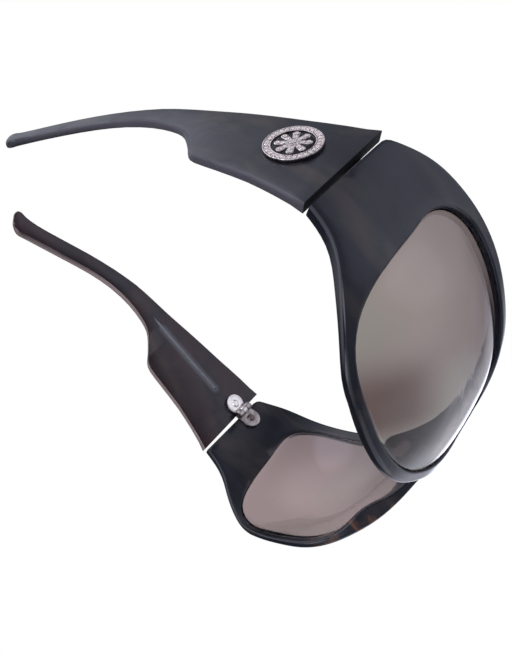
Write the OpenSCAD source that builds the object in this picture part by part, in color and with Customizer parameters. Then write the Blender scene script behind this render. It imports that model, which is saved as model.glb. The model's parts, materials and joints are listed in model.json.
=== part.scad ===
// Wrapped sunglasses: a one-piece front, two domed lenses, and wide temples that step down to thin arms.
// Everything is drawn for the wearer's left side (+X) and mirrored for the right side.
// The front looks along -Y. Heights are counted from the temples' lower front corners,
// and at the end the whole pair is tipped to stand on its rims and its temple tips.

/* [Front] */
// Half of the front's width, at the hinges
front_half_w = 69; // [64:0.5:74]
// Depth of the wrap, from the hinges to the bridge
front_depth = 63; // [54:0.5:70]
// Height of the front, from the lowest point of a rim to the brow
front_h = 59; // [54:0.5:64]
// How far the rims hang below the temples
rim_drop = 21.5; // [17:0.5:25]
// Radius of the front's upright curve
crown_r = 67; // [58:1:85]
// The same beside the nose, below the foremost line
nose_crown_r = 84; // [66:1:100]
// How much flatter than an oval the front is at the bridge
bridge_set_back = 2.2; // [0:0.1:3]
// Height of the front's foremost line
crown_z = 20; // [12:0.5:26]
// Wall of the lower rims
rim_wall = 2.8; // [2.6:0.1:3.6]
// Wall of the brow and the end pieces
end_wall = 4; // [3.6:0.1:5]
// Radius of the long outer edges
edge_r = 1; // [0.6:0.05:1.2]
// How far the moulded nose rests stand out behind the rims
nose_rest_h = 3; // [1.5:0.1:4]
// Outward lean of the side walls, in degrees
lean_angle = 4; // [0:0.5:7]

/* [Lenses] */
// Thickness of a lens
lens_t = 1.8; // [1.5:0.1:2]
// Extra dome of a lens over the curve of the front
lens_dome = 1.7; // [0.5:0.1:3]
// Width of the groove at its mouth
groove_w = 1.1; // [0.8:0.05:1.3]
// Depth of the groove in the rim
groove_d = 0.7; // [0.4:0.05:1]
// Clearance between a lens and its rim
lens_play = 0.06; // [0.03:0.01:0.12]

/* [Temples] */
// Length of a temple, from the hinge to its tip
temple_len = 97; // [88:0.5:106]
// Height of a temple at the hinge
temple_h = 34; // [31:0.5:37]
// Thickness of a temple
temple_wall = 3.4; // [3:0.1:4]
// Gap between a temple and the front as it stands, at the temple's lower corner
hinge_gap = 1.35; // [1.2:0.05:2]
// How much wider that gap is at the upper corner
gap_spread = 0.7; // [0:0.1:1]
// How much narrower it is on the temple's inner side
gap_mitre = 0.6; // [0.3:0.05:0.7]
// Angle by which the temples stand folded in, in degrees
stand_fold = 21.5; // [16:0.5:24]
// Inward curl of a temple over its length
tip_curl = 11.9; // [4:0.1:14]
// Diameter of the wire core
core_d = 1.5; // [1.2:0.1:1.8]

/* [Hinges] */
// Height of the middle of a hinge
hinge_z = 22.5; // [18:0.5:26]
// Height of the three knuckles together
hinge_h = 6.6; // [6:0.1:9]
// Radius of a knuckle
knuckle_r = 1.65; // [1.5:0.05:1.75]
// Radius of the screw in the knuckles
screw_r = 0.7; // [0.5:0.05:0.8]
// Running clearance round the screw
screw_play = 0.05; // [0.03:0.01:0.08]
// Thickness of a hinge leaf
leaf_t = 1; // [0.8:0.05:1.2]
// Radius of the round lobe of a leaf
lobe_r = 3.7; // [3.2:0.1:3.8]
// Distance from the screw to the middle of a lobe
lobe_reach = 3.9; // [3.9:0.1:4.8]
// Radius of a rivet's shank
rivet_r = 0.8; // [0.6:0.05:1]

/* [Badge] */
// Length of the oval badge, along the temple
badge_w = 15; // [13:0.5:17]
// Height of the oval badge
badge_h = 16; // [13:0.5:17]
// Thickness of the badge's enamelled base
badge_t = 1.1; // [0.9:0.1:1.6]
// Width of the badge's metal ring
badge_ring_w = 2.1; // [1.6:0.1:2.4]
// Distance of the badge's middle behind the hinge
badge_y = 16.6; // [14:0.2:20]
// Height of the badge's middle
badge_z = 18.8; // [16:0.2:21]
// Number of stones round the badge
ring_stones = 30; // [20:1:32]
// Number of petals of the rosette
petals = 8; // [6:1:9]

/* [Hidden] */
$fn = 32;
overrun = 1;
right_angle = 90;

// Outline of half the front, as shares of the quarter turn from the bridge and of the front's height
brow_shares = [[0, 0.925], [0.15, 0.95], [0.3, 0.965], [0.45, 0.985], [0.6, 1], [0.75, 0.998],
    [0.88, 0.98], [1, 0.905]];
under_shares = [[1, 0.368], [0.9, 0.305], [0.79, 0.155], [0.66, 0.03], [0.54, 0.002], [0.43, 0.004],
    [0.345, 0.022], [0.275, 0.065], [0.22, 0.135], [0.172, 0.24], [0.127, 0.38], [0.085, 0.51],
    [0.04, 0.61], [0, 0.635]];
// Outline of a lens opening, in the same shares
opening_shares = [[0.797, 0.72], [0.792, 0.57], [0.785, 0.42], [0.766, 0.265], [0.73, 0.15],
    [0.67, 0.08], [0.595, 0.05], [0.51, 0.046], [0.425, 0.05], [0.345, 0.078], [0.268, 0.145],
    [0.207, 0.265], [0.165, 0.42], [0.142, 0.57], [0.14, 0.7], [0.17, 0.81], [0.245, 0.878],
    [0.36, 0.903], [0.49, 0.918], [0.61, 0.928], [0.7, 0.918], [0.76, 0.87], [0.788, 0.8]];
lens_middle_shares = [0.47, 0.5];
brow_steps = 24;
end_steps = 7;
under_steps = 30;
bridge_steps = 4;
face_steps = 4;
opening_steps = 5;
lens_rings = 6;
crown_fade_share = 0.75;
bow_level_share = 0.7;
brow_bow_shares = [0.1, 0.35, 0.75];
nose_shares = [0.25, 0.5];
bridge_shares = [0.1, 0.4];
bridge_rise_shares = [-0.4, 0.9];
end_slant = 1.4;
end_set_back = 1.2;
end_edge_r = 0.3;
lip_r = 0.35;
groove_floor_share = 0.7;
seat_low_share = 0.5;
seat_high_share = 0.72;
nose_rest_shares = [0.165, 0.27];
nose_rest_w = 7;
end_wall_shares = [0.72, 0.92];
brow_wall_shares = [0.25, 1.5];
stand_flat = 0.2;
quarter_arc = PI / 4 * (3 * (front_half_w + front_depth)
    - sqrt((3 * front_half_w + front_depth) * (front_half_w + 3 * front_depth)));
lean = tan(lean_angle);
lean_level = temple_h + end_wall;

// Lower and upper edge of a temple, as shares of its length and of its height
temple_rail_shares = [[0, 0, 0, 1], [0.11, 0.068, 0.105, 0.975], [0.195, 0.118, 0.205, 0.93],
    [0.29, 0.145, 0.3, 0.89], [0.362, 0.164, 0.372, 0.855], [0.391, 0.206, 0.407, 0.835],
    [0.412, 0.28, 0.433, 0.82], [0.447, 0.39, 0.464, 0.803], [0.477, 0.457, 0.5, 0.785],
    [0.52, 0.493, 0.546, 0.762], [0.588, 0.502, 0.618, 0.715], [0.67, 0.458, 0.706, 0.614],
    [0.752, 0.358, 0.793, 0.48], [0.835, 0.214, 0.874, 0.33], [0.912, 0.07, 0.947, 0.193],
    [0.951, -0.006, 0.985, 0.142], [0.966, -0.033, 1.001, 0.131], [0.98, -0.035, 1.012, 0.1],
    [0.992, -0.02, 1.012, 0.055]];
rail_steps = 2;
tip_round_shares = [1.04, 1.08, 1.06, 0.97, 0.83, 0.56];

screw_head_r = 1.25;
screw_head_h = 0.7;
slot_w = 0.35;
slot_d = 0.35;
knuckle_gap = 0.06;
leaf_gap = 0.12;
wall_gap = 0.3;
swing_play = 0.15;
rivet_head_r = 1.5;
rivet_head_h = 0.5;
rivet_len = 2.2;
rivet_play = 0.03;
pin_inset = knuckle_r + wall_gap;
leaf_sag = lobe_reach * lobe_reach * front_half_w / (2 * front_depth * front_depth);
knuckle_h = hinge_h / 3;

badge_sink = 0.5;
badge_play = 0.04;
badge_ring_h = 0.4;
channel_d = 0.2;
channel_margin = 0.3;
stone_h = 0.4;
stone_play = 0.06;
rosette_gap = 0.7;
rosette_h = 0.3;
petal_fill_share = 0.66;
petal_root_share = 0.5;
boss_share = 0.42;
petal_stone_share = 0.72;
inner_stone_shares = [0.62, 0.5];
stone_table_share = 0.55;
oval_points = 48;

core_start_share = 0.15;
core_end_share = 0.93;
core_level_share = 0.612;
core_dive_shares = [0.44, 0.62];
core_probe_share = 0.01;
core_spare_share = 0.004;
core_proud = 0.15;
core_play = 0.05;
core_sides = 8;
core_steps = 22;

function unit(v) = v / norm(v);
function mix(a, b, k) = a + (b - a) * k;
function ramp(x, a, b) = let(k = max(0, min(1, (x - a) / (b - a)))) k * k * (3 - 2 * k);

// A smooth curve through the listed points: t counts points from the first
function curve_at(pts, t) =
    let(last = len(pts) - 1, i = min(floor(t), last - 1), k = t - i,
        p0 = pts[max(i - 1, 0)], p1 = pts[i], p2 = pts[i + 1], p3 = pts[min(i + 2, last)])
    p1 + k / 2 * (p2 - p0 + k * (2 * p0 - 5 * p1 + 4 * p2 - p3 + k * (3 * (p1 - p2) + p3 - p0)));
function loop_curve(pts, n) =
    let(c = len(pts), round_again = [for (i = [0 : c + 2]) pts[(i + c - 1) % c]])
    [for (i = [0 : c - 1], j = [0 : n - 1]) curve_at(round_again, 1 + i + j / n)];

// Points of the front: share of the quarter turn, height, and depth under the outer face
function end_line(z) = end_set_back - end_slant * z / lean_level;
function front_point(s, z, depth) =
    let(turn = right_angle * s,
        n = unit([sin(turn) / front_half_w, -cos(turn) / front_depth]),
        low = z < crown_z,
        bow_r = low ? mix(nose_crown_r, crown_r, ramp(s, nose_shares[0], nose_shares[1])) : crown_r,
        bow_share = low ? 1 - crown_fade_share * s * s
            : bow_level_share * ramp(s, brow_bow_shares[0], brow_bow_shares[1])
                * (1 - ramp(s, brow_bow_shares[1], brow_bow_shares[2])),
        set_back = bridge_set_back * (1 - ramp(s, bridge_shares[0], bridge_shares[1]))
            * ramp(z, crown_z * bridge_rise_shares[0], crown_z * bridge_rise_shares[1]),
        d = pow(z - crown_z, 2) / (2 * bow_r) * bow_share + set_back + depth)
    [front_half_w * sin(turn) - n.x * d + lean * (z - lean_level) * s * s,
        end_line(z) * s * s - front_depth * cos(turn) - n.y * d, z];
// The same from the flat pattern of the front, in mm along the quarter turn and in height
function front_at(p, depth) = front_point(p.x / quarter_arc, p.y, depth);
function on_pattern(q) = [q.x * quarter_arc, q.y * front_h - rim_drop];
// Thickness of the front's wall, without and with the moulded nose rest, and depth of the lens seat in it
function plain_wall(p) =
    let(side = ramp(p.x / quarter_arc, end_wall_shares[0], end_wall_shares[1]),
        brow = ramp(p.y, crown_z * brow_wall_shares[0], crown_z * brow_wall_shares[1]))
    mix(rim_wall, end_wall, max(side, brow));
function wall_at(p) =
    plain_wall(p) + nose_rest_h * exp(-pow(norm(p - on_pattern(nose_rest_shares)) / nose_rest_w, 2));
function seat_at(p) =
    plain_wall(p) * mix(seat_low_share, seat_high_share, ramp(p.y, -rim_drop / 2, temple_h));

brow_line = [for (q = brow_shares) on_pattern(q)];
under_line = [for (q = under_shares) on_pattern(q)];
opening_loop = loop_curve([for (q = opening_shares) on_pattern(q)], opening_steps);
lens_middle = on_pattern(lens_middle_shares);

// Where the ray from the middle of the lens towards point p crosses the opening's outline
function opening_hit(p) =
    let(d = unit(p - lens_middle), c = len(opening_loop),
        hits = [for (i = [0 : c - 1])
            let(a = opening_loop[i] - lens_middle, b = opening_loop[(i + 1) % c] - lens_middle,
                ca = d.x * a.y - d.y * a.x, cb = d.x * b.y - d.y * b.x)
            if (ca * cb <= 0 && ca != cb && d * (a + b) > 0) d * mix(a, b, ca / (ca - cb))])
    lens_middle + d * hits[0];

// The outline of half the front, with the inward step of its edge rounding at each point
outline = concat(
    [for (i = [0 : brow_steps - 1]) curve_at(brow_line, i * (len(brow_line) - 1) / brow_steps)],
    [for (i = [0 : end_steps - 1]) mix(brow_line[len(brow_line) - 1], under_line[0], i / end_steps)],
    [for (i = [0 : under_steps - 1]) curve_at(under_line, i * (len(under_line) - 1) / under_steps)],
    [for (i = [0 : bridge_steps - 1])
        mix(under_line[len(under_line) - 1], brow_line[0], i / bridge_steps)]);
columns = len(outline);
first_end = brow_steps;
first_under = brow_steps + end_steps;
first_bridge = first_under + under_steps;
function edge_step(i) =
    let(t = unit(outline[(i + 1) % columns] - outline[(i + columns - 1) % columns]), n = [t.y, -t.x])
    i == 0 ? [0, -edge_r]
    : i < first_end ? n * edge_r
    : i == first_end ? [-end_edge_r, -edge_r]
    : i < first_under ? [-end_edge_r, 0]
    : i == first_under ? [-end_edge_r, edge_r]
    : i < first_bridge ? n * edge_r
    : i == first_bridge ? [0, edge_r]
    : [0, 0];
rim_hits = [for (p = outline) opening_hit(p)];
function rim_out(i) =
    let(t = unit(rim_hits[(i + 1) % columns] - rim_hits[(i + columns - 1) % columns])) [-t.y, t.x];

// One slice of the moulded rim: outer face, rounded edge, inner face, lips and lens groove
round_angles = [30, 60, 90];
function rim_slice(i) =
    let(p = outline[i], e = edge_step(i), o = rim_hits[i], g = rim_out(i), a = o + g * lip_r, b = p + e,
        seat = seat_at(o), back = wall_at(o), floor_w = groove_w * groove_floor_share)
    concat(
        [for (j = [0 : face_steps]) front_at(mix(a, b, j / face_steps), 0)],
        [for (r = round_angles) front_at(p + e * (1 - sin(r)), edge_r * (1 - cos(r)))],
        [for (j = [2 : -1 : 0]) let(r = round_angles[j])
            front_at(p + e * (1 - sin(r)), wall_at(p) - edge_r * (1 - cos(r)))],
        [for (j = [face_steps : -1 : 0]) let(q = mix(a, b, j / face_steps)) front_at(q, wall_at(q))],
        [front_at(o, back - lip_r), front_at(o, seat + groove_w / 2),
            front_at(o + g * groove_d, seat + floor_w / 2), front_at(o + g * groove_d, seat - floor_w / 2),
            front_at(o, seat - groove_w / 2), front_at(o, lip_r)]);

// A closed skin over a list of rings of points: closed round on itself, or capped at both ends
module skin(rings, closed) {
    count = len(rings);
    width = len(rings[0]);
    spans = closed ? count : count - 1;
    sides = [for (i = [0 : spans - 1], j = [0 : width - 1])
        [i * width + j, i * width + (j + 1) % width,
            (i + 1) % count * width + (j + 1) % width, (i + 1) % count * width + j]];
    caps = closed ? []
        : [[for (j = [width - 1 : -1 : 0]) j], [for (j = [0 : width - 1]) (count - 1) * width + j]];
    polyhedron([for (ring = rings, p = ring) p], concat(sides, caps), convexity = 8);
}

// Points of a lens: ring by ring from the middle to the bevel that sits in the groove
function lens_depth(i, k) =
    mix(seat_at(lens_middle), seat_at(rim_hits[i]), k * k) - lens_dome * (1 - k * k);
function lens_slice(i) =
    let(o = rim_hits[i], g = rim_out(i), edge = o - g * lens_play, seat = seat_at(o),
        ridge = o + g * (groove_d - lens_play), root_w = groove_w / 2 - lens_play,
        top_w = groove_w * groove_floor_share / 2 - lens_play)
    concat(
        [for (k = [1 : lens_rings]) let(s = k / lens_rings)
            front_at(mix(lens_middle, edge, s), lens_depth(i, s) - lens_t / 2)],
        [front_at(edge, seat - root_w), front_at(ridge, seat - top_w),
            front_at(ridge, seat + top_w), front_at(edge, seat + root_w)],
        [for (k = [lens_rings : -1 : 1]) let(s = k / lens_rings)
            front_at(mix(lens_middle, edge, s), lens_depth(i, s) + lens_t / 2)]);

module lens() {
    width = len(lens_slices[0]);
    middle_depth = seat_at(lens_middle) - lens_dome;
    poles = [front_at(lens_middle, middle_depth - lens_t / 2),
        front_at(lens_middle, middle_depth + lens_t / 2)];
    sides = [for (i = [0 : columns - 1], j = [0 : width - 2]) let(n = (i + 1) % columns)
        [i * width + j, i * width + j + 1, n * width + j + 1, n * width + j]];
    outer_fan = [for (i = [0 : columns - 1]) [columns * width, i * width, (i + 1) % columns * width]];
    inner_fan = [for (i = [0 : columns - 1])
        [columns * width + 1, (i + 1) % columns * width + width - 1, i * width + width - 1]];
    polyhedron(concat([for (s = lens_slices, p = s) p], poles), concat(sides, outer_fan, inner_fan),
        convexity = 4);
}

// Points of a temple: distance behind the hinge, height, and depth under the outer face
function temple_x(y) = let(u = y / temple_len) front_half_w - tan(stand_fold) * y - tip_curl * pow(u, 3);
function temple_point(y, z, depth) =
    [temple_x(y) - depth + lean * (z - lean_level) * (1 - y / temple_len), y, z];
function gap_at(z) = hinge_gap + gap_spread * z / temple_h;
function rail_at(t) =
    let(q = curve_at(temple_rail_shares, t), fade = max(0, 1 - t),
        low_z = q[1] * temple_h, top_z = q[3] * temple_h)
    [[q[0] * temple_len + (end_line(low_z) + gap_at(low_z)) * fade, low_z],
        [q[2] * temple_len + (end_line(top_z) + gap_at(top_z)) * fade, top_z]];
corner_angles = [0, 45, 90];
function temple_slice(k) =
    let(last = (len(temple_rail_shares) - 1) * rail_steps, ends = rail_at(k / rail_steps),
        low = ends[0], top = ends[1], h = norm(top - low), v = (top - low) / h,
        spare = len(tip_round_shares) - 1 - last + k,
        slim = spare < 0 ? 1 : tip_round_shares[spare],
        wall = temple_wall * slim, start = (temple_wall - wall) / 2,
        mitre = gap_mitre / temple_wall * max(0, 1 - k / rail_steps),
        r = k == 0 ? end_edge_r : min(edge_r, wall / 2 - end_edge_r / 2, h / 3),
        spots = concat(
            [for (a = corner_angles) [r * (1 - cos(a)), r * (1 - sin(a))]],
            [for (a = corner_angles) [wall - r * (1 - sin(a)), r * (1 - cos(a))]],
            [for (a = corner_angles) [wall - r * (1 - cos(a)), h - r * (1 - sin(a))]],
            [for (a = corner_angles) [r * (1 - sin(a)), h - r * (1 - cos(a))]]))
    [for (i = [len(spots) - 1 : -1 : 0]) let(q = spots[i], yz = low + v * q.y)
        temple_point(yz.x - mitre * (start + q.x), yz.y, start + q.x)];
temple_rings = [for (k = [0 : (len(temple_rail_shares) - 1) * rail_steps]) temple_slice(k)];

// The wire core lies along the inner face of the wide part and then runs down the middle of the arm
function rail_height(y, c) =
    let(u = y / temple_len, n = len(temple_rail_shares),
        m = [for (i = [0 : n - 2]) let(a = temple_rail_shares[i], b = temple_rail_shares[i + 1])
            if (a[c] <= u && u < b[c]) mix(a[c + 1], b[c + 1], (u - a[c]) / (b[c] - a[c]))])
    m[0] * temple_h;
function core_at(k) =
    let(u = mix(core_start_share, core_end_share, k), y = u * temple_len,
        arm_z = (rail_height(y, 0) + rail_height(y, 2)) / 2,
        bend = ramp(u, core_dive_shares[0], core_dive_shares[1]))
    temple_point(y, mix(core_level_share * temple_h, arm_z, bend),
        mix(temple_wall - core_d / 2 + core_proud, temple_wall / 2, bend));
module core_tube(r, spare) {
    skin([for (i = [0 : core_steps])
        let(k = mix(-spare, 1 + spare, i / core_steps), p = core_at(k),
            d = unit(core_at(k + core_probe_share) - core_at(k - core_probe_share)),
            a = unit(cross(d, [0, 0, 1])), b = cross(d, a))
        [for (j = [0 : core_sides - 1]) let(t = 360 * j / core_sides)
            p + r * (b * cos(t) + a * sin(t))]], false);
}

// Hinge: its own frame has the screw along Z, the side wall towards +X and the temple towards +Y
pin_gap = (gap_at(hinge_z) - gap_mitre * (1 + pin_inset / temple_wall)) / 2;
hinge_y = end_line(hinge_z) + pin_gap;
hinge_x = front_half_w - end_wall + lean * (hinge_z - lean_level) - pin_inset;
module at_hinge() {
    translate([hinge_x, hinge_y, hinge_z]) rotate([0, lean_angle, 0]) children();
}
// Turn of a leaf about the screw, and how far from the screw the wall behind its lobe lies
lobe_s = 1 - (lobe_reach - pin_gap) / quarter_arc;
lobe_spot = front_point(lobe_s, hinge_z, end_wall);
lobe_dir = lobe_spot - front_point(lobe_s - core_probe_share, hinge_z, end_wall);
front_turn = atan2(lobe_dir.x, lobe_dir.y);
front_face = (lobe_spot.x - hinge_x) * cos(lean_angle) * cos(front_turn)
    - (lobe_spot.y - hinge_y) * sin(front_turn) - leaf_gap - leaf_sag;
temple_spot = temple_point(hinge_y + lobe_reach * cos(stand_fold), hinge_z, temple_wall);
temple_face = (temple_spot.x - hinge_x) * cos(lean_angle) * cos(stand_fold)
    + (temple_spot.y - hinge_y) * sin(stand_fold) - leaf_gap;
module on_front_wall() {
    mirror([0, 1, 0]) rotate([0, 0, front_turn]) children();
}
module on_temple_wall() {
    rotate([0, 0, stand_fold]) children();
}
module along_wall(face) {
    translate([face - leaf_t, lobe_reach, 0]) rotate([0, right_angle, 0]) children();
}
// Plate of a leaf: a round lobe that widens to the knuckles' height at the screw
module leaf_plate(face, half_h) {
    reach = norm([lobe_reach, half_h]);
    tangent = atan2(half_h, -lobe_reach) - acos(lobe_r / reach);
    spot = [lobe_reach + lobe_r * cos(tangent), lobe_r * sin(tangent)];
    translate([face - leaf_t, 0, 0]) rotate([right_angle, 0, right_angle]) linear_extrude(leaf_t) {
        translate([lobe_reach, 0]) circle(lobe_r);
        polygon([[0, -half_h], [0, half_h], spot, [spot.x, -spot.y]]);
    }
}
module knuckle(middle, h) {
    translate([0, 0, middle - h / 2]) cylinder(r = knuckle_r, h = h);
}
module knuckle_room(middle, h) {
    translate([0, 0, middle - h / 2]) cylinder(r = knuckle_r + swing_play, h = h);
}
module screw_bore() {
    translate([0, 0, -hinge_h]) cylinder(r = screw_r + screw_play, h = 2 * hinge_h);
}
module rivet_hole(face) {
    along_wall(face) translate([0, 0, -overrun])
        cylinder(r = rivet_r + rivet_play, h = leaf_t + overrun + rivet_len + rivet_play);
}
module rivet(face) {
    along_wall(face) {
        cylinder(r = rivet_r, h = leaf_t + rivet_len);
        translate([0, 0, -rivet_head_h])
            cylinder(r1 = rivet_head_r - rivet_head_h, r2 = rivet_head_r, h = rivet_head_h);
    }
}
module front_leaf() {
    difference() {
        union() {
            difference() {
                on_front_wall() leaf_plate(front_face, hinge_h / 2);
                knuckle_room(0, knuckle_h);
            }
            for (m = [-knuckle_h, knuckle_h]) knuckle(m, knuckle_h);
        }
        on_front_wall() rivet_hole(front_face);
        screw_bore();
    }
}
module temple_leaf() {
    middle_h = knuckle_h - 2 * knuckle_gap;
    difference() {
        union() {
            difference() {
                on_temple_wall() leaf_plate(temple_face, middle_h / 2);
                for (m = [-1, 1]) knuckle_room(m * (middle_h + hinge_h) / 2, hinge_h);
            }
            knuckle(0, middle_h);
        }
        on_temple_wall() rivet_hole(temple_face);
        screw_bore();
    }
}
module screw() {
    difference() {
        union() {
            translate([0, 0, -hinge_h / 2]) cylinder(r = screw_r, h = hinge_h + slot_d);
            translate([0, 0, hinge_h / 2]) cylinder(r = screw_head_r, h = screw_head_h);
        }
        translate([-screw_head_r - overrun, -slot_w / 2, hinge_h / 2 + screw_head_h - slot_d])
            cube([2 * (screw_head_r + overrun), slot_w, slot_d + overrun]);
    }
}

// Badge: its own frame lies on the temple's outer face, with Z pointing out of it
badge_u = badge_y / temple_len;
badge_turn = atan(tan(stand_fold) + 3 * tip_curl * badge_u * badge_u / temple_len);
badge_lean = atan(lean * (1 - badge_u));
module at_badge() {
    translate(temple_point(badge_y, badge_z, 0)) rotate([0, 0, badge_turn]) rotate([0, badge_lean, 0])
        rotate([right_angle, 0, right_angle]) children();
}
module oval(inset) {
    a = badge_w / 2 - inset;
    b = badge_h / 2 - inset;
    polygon([for (i = [0 : oval_points - 1]) let(t = 360 * i / oval_points) [a * cos(t), b * sin(t)]]);
}
base_top = badge_t - badge_sink;
ring_top = base_top + badge_ring_h;
row_a = (badge_w - badge_ring_w) / 2;
row_b = (badge_h - badge_ring_w) / 2;
stone_r = min(badge_ring_w / 2 - channel_margin, PI * min(row_a, row_b) / ring_stones) - stone_play;
petal_slope = petal_fill_share * sin(180 / petals);
petal_r = (min(badge_w, badge_h) / 2 - badge_ring_w - rosette_gap) * petal_slope / (1 + petal_slope);
petal_inset = badge_ring_w + rosette_gap + petal_r;
boss_r = (badge_w / 2 - petal_inset) * boss_share;
// Middle of the round end of each petal
petal_ends = [for (i = [0 : petals - 1]) let(t = 360 * (i + 0.5) / petals)
    [(badge_w / 2 - petal_inset) * cos(t), (badge_h / 2 - petal_inset) * sin(t)]];
module badge_base() {
    translate([0, 0, -badge_sink]) linear_extrude(badge_t) oval(0);
}
module badge_seat() {
    translate([0, 0, -badge_sink - badge_play]) linear_extrude(badge_t + overrun) oval(-badge_play);
}
module badge_ring() {
    translate([0, 0, base_top]) difference() {
        linear_extrude(badge_ring_h) difference() {
            oval(0);
            oval(badge_ring_w);
        }
        translate([0, 0, badge_ring_h - channel_d]) linear_extrude(channel_d + overrun) difference() {
            oval(channel_margin);
            oval(badge_ring_w - channel_margin);
        }
    }
}
module petal(reach) {
    root = petal_r * petal_root_share;
    translate([reach, 0]) circle(petal_r);
    polygon([[0, -root], [reach, -petal_r], [reach, petal_r], [0, root]]);
}
module rosette() {
    translate([0, 0, base_top]) linear_extrude(rosette_h) {
        circle(boss_r);
        for (q = petal_ends) rotate(atan2(q.y, q.x)) petal(norm(q));
    }
}
module stone(r) {
    cylinder(r = r, h = stone_h / 2);
    translate([0, 0, stone_h / 2]) cylinder(r1 = r, r2 = r * stone_table_share, h = stone_h / 2);
}
module stones() {
    for (i = [0 : ring_stones - 1]) let(t = 360 * (i + 0.5) / ring_stones)
        translate([row_a * cos(t), row_b * sin(t), ring_top - channel_d]) stone(stone_r);
    translate([0, 0, base_top + rosette_h]) {
        stone(boss_r - channel_margin);
        for (q = petal_ends) {
            translate([q.x, q.y, 0]) stone(petal_r * petal_stone_share);
            translate([q.x, q.y, 0] * inner_stone_shares[0]) stone(petal_r * inner_stone_shares[1]);
        }
    }
}

// Standing: tip the pair so that the rims, less a small flat, and the temple tips touch the ground
front_rings = [for (i = [0 : columns - 1]) rim_slice(i)];
function low_z(rings, a) = min([for (r = rings, p = r) p.z * cos(a) + p.y * sin(a)]);
function tipped(a, n) =
    let(rise = low_z(temple_rings, a) - low_z(front_rings, a) - stand_flat)
    n == 0 ? a : tipped(a - atan(rise / (temple_len + front_depth)), n - 1);
stand_tip = tipped(0, 12);
stand_lift = -low_z(temple_rings, stand_tip);
function tipped_y(rings) = [for (r = rings, p = r) p.y * cos(stand_tip) - p.z * sin(stand_tip)];
lens_slices = [for (i = [0 : columns - 1]) lens_slice(i)];
stand_y = (max(tipped_y(temple_rings))
    + min(concat(tipped_y(front_rings), tipped_y(lens_slices)))) / 2;
module stand() {
    translate([0, -stand_y, stand_lift]) rotate([stand_tip, 0, 0]) children();
}
module on_side(right) {
    if (right) mirror([1, 0, 0]) children();
    else children();
}

module front_frame() {
    ground = 2 * (front_half_w + overrun);
    color([0.15, 0.14, 0.16]) difference() {
        stand() difference() {
            union() for (right = [false, true]) on_side(right) skin(front_rings, true);
            for (right = [false, true]) on_side(right) at_hinge() on_front_wall() rivet_hole(front_face);
        }
        translate([-ground / 2, -ground, -overrun]) cube([ground, 2 * ground, overrun]);
    }
}
module lens_side(right) {
    color([0.5, 0.46, 0.46, 0.7]) stand() on_side(right) lens();
}
module temple_side(right) {
    color([0.17, 0.15, 0.17]) stand() on_side(right) difference() {
        skin(temple_rings, false);
        core_tube(core_d / 2 + core_play, core_spare_share);
        at_hinge() on_temple_wall() rivet_hole(temple_face);
        at_badge() badge_seat();
    }
}
module core_wire(right) {
    color([0.6, 0.6, 0.62]) stand() on_side(right) core_tube(core_d / 2, 0);
}
module hinge_front(right) {
    color([0.75, 0.72, 0.7]) stand() on_side(right) at_hinge() front_leaf();
}
module hinge_temple(right) {
    color([0.78, 0.75, 0.72]) stand() on_side(right) at_hinge() temple_leaf();
}
module hinge_screw(right) {
    color([0.65, 0.63, 0.62]) stand() on_side(right) at_hinge() screw();
}
module front_rivet(right) {
    color([0.45, 0.42, 0.42]) stand() on_side(right) at_hinge() on_front_wall() rivet(front_face);
}
module temple_rivet(right) {
    color([0.45, 0.42, 0.42]) stand() on_side(right) at_hinge() on_temple_wall() rivet(temple_face);
}
module badge_base_side(right) {
    color([0.05, 0.05, 0.06]) stand() on_side(right) at_badge() badge_base();
}
module badge_ring_side(right) {
    color([0.78, 0.72, 0.72]) stand() on_side(right) at_badge() badge_ring();
}
module badge_rosette(right) {
    color([0.78, 0.72, 0.72]) stand() on_side(right) at_badge() rosette();
}
module badge_stones(right) {
    color([0.92, 0.9, 0.92]) stand() on_side(right) at_badge() stones();
}

front_frame();
lens_side(true);  // lens_right
lens_side(false);  // lens_left
temple_side(true);  // temple_right
temple_side(false);  // temple_left
core_wire(true);  // core_wire_right
core_wire(false);  // core_wire_left
hinge_front(true);  // hinge_front_right
hinge_front(false);  // hinge_front_left
hinge_temple(true);  // hinge_temple_right
hinge_temple(false);  // hinge_temple_left
hinge_screw(true);  // hinge_screw_right
hinge_screw(false);  // hinge_screw_left
front_rivet(true);  // front_rivet_right
front_rivet(false);  // front_rivet_left
temple_rivet(true);  // temple_rivet_right
temple_rivet(false);  // temple_rivet_left
badge_base_side(true);  // badge_base_right
badge_base_side(false);  // badge_base_left
badge_ring_side(true);  // badge_ring_right
badge_ring_side(false);  // badge_ring_left
badge_rosette(true);  // badge_rosette_right
badge_rosette(false);  // badge_rosette_left
badge_stones(true);  // badge_stones_right
badge_stones(false);  // badge_stones_left
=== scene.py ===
# %% [markdown]
# # Wrapped sunglasses, dressed for a studio picture
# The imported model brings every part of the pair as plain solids: the moulded front, two lenses,
# two temples, the hinges and the oval badges. This lesson gives them their finishes, rounds what is
# too crisp, and sets stones and claws where the solids only have cones. Everything is in metres.

# %% Load the frame
import json
import math

import bpy
from mathutils import Matrix, Vector

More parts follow.
